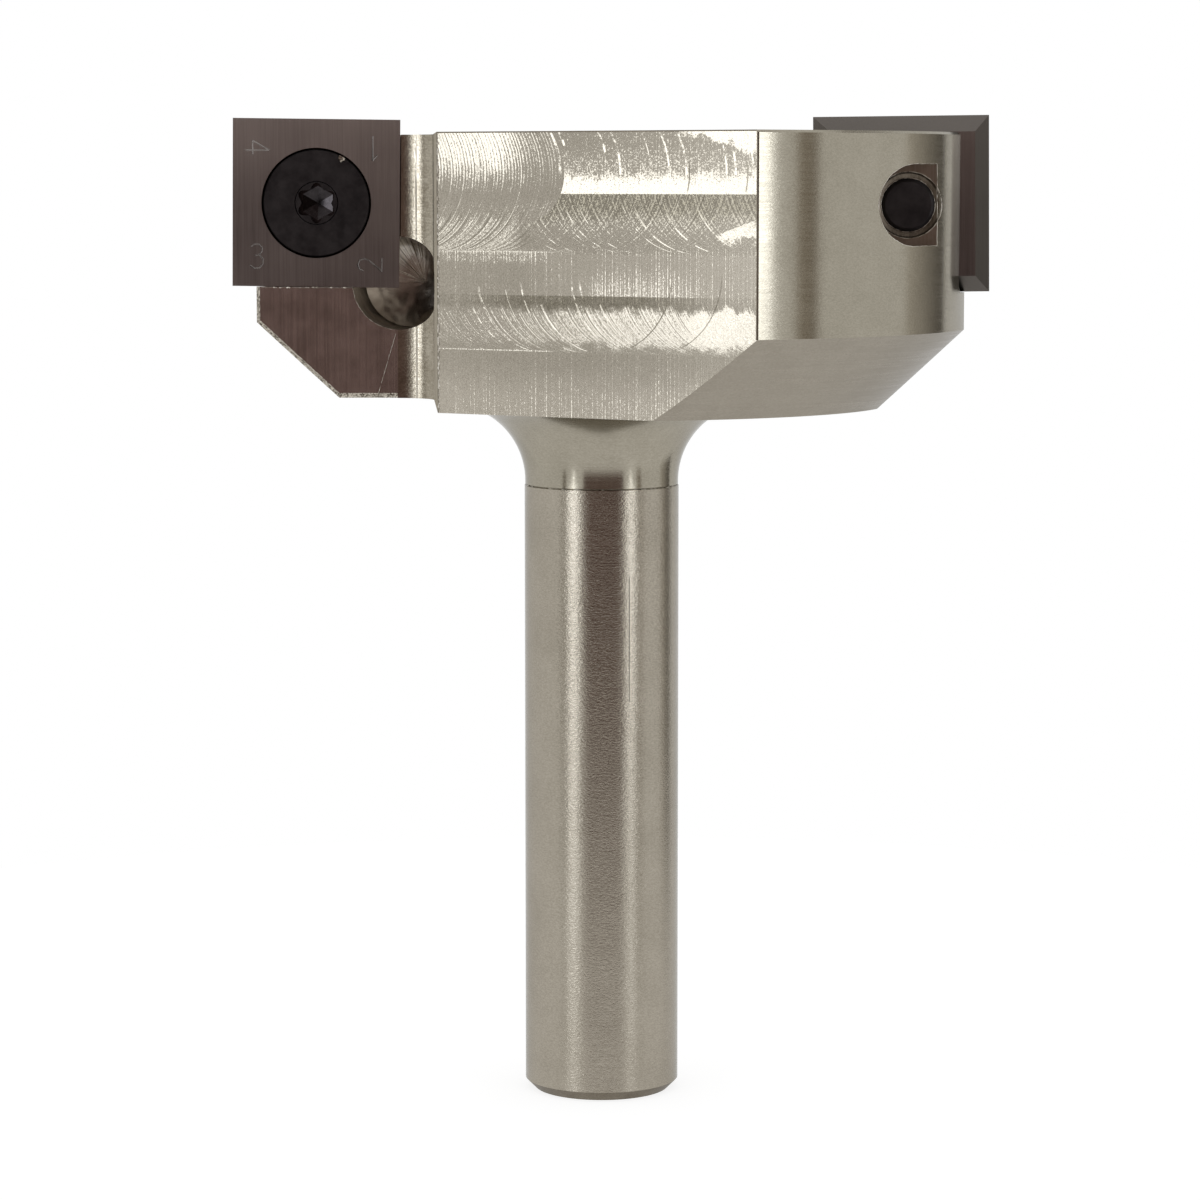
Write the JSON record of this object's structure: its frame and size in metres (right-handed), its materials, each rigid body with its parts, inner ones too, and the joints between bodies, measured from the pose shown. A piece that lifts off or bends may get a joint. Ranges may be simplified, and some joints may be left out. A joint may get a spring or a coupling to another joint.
{
  "type": "spoilboard surfacing bit",
  "caption": "Wide flat router bit with a straight shank and a turned head. Square indexable knives are screwed into milled gullets to skim a spoilboard flat.",
  "frame": {"origin": "centre of the shank's lower end face", "axes": "+Z along the bit's axis, from the shank end to the cutting face; the first knife is on the -X side with its cutting face towards -Y"},
  "size_m": [0.062, 0.0552, 0.0806],
  "materials": {
    "plated_steel": "nickel plated, satin, turned and milled",
    "carbide": "ground, dark grey",
    "black_steel": "black oxide, satin"
  },
  "bodies": {
    "root": {"cutter_body": "plated_steel", "insert_knife_1": "carbide", "insert_knife_2": "carbide", "insert_screw_1": "black_steel", "insert_screw_2": "black_steel"}
  },
  "joints": []
}
